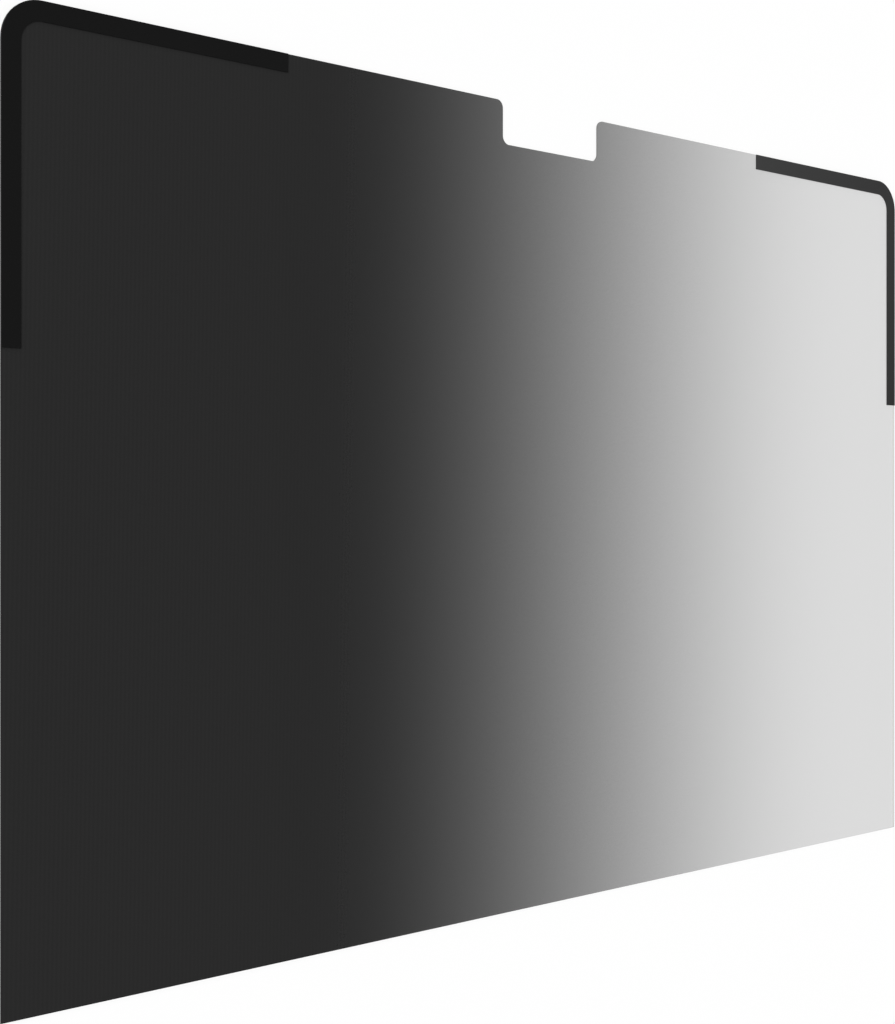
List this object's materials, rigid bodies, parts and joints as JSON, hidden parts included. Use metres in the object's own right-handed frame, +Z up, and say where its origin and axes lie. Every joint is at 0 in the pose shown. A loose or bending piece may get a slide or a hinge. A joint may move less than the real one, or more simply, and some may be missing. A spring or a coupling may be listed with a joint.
{
  "type": "laptop privacy filter",
  "caption": "Flat louvre-film sheet with rounded upper corners, a camera notch and L-shaped magnetic corner strips, laid over a laptop screen to block side views.",
  "frame": {"origin": "on the underside of the film, below the middle of the sheet", "axes": "+X along the sheet's width, +Y towards the edge with the camera notch, +Z up out of the face that carries the strips"},
  "size_m": [0.308, 0.2034, 0.0007],
  "materials": {
    "louvre_film": "anti-glare hard coat over a louvre film, dark when seen from the side",
    "magnet_strip": "matte calendered flexible magnet"
  },
  "bodies": {
    "root": {"filter_sheet": "louvre_film", "left_corner_strip": "magnet_strip", "right_corner_strip": "magnet_strip"}
  },
  "joints": []
}
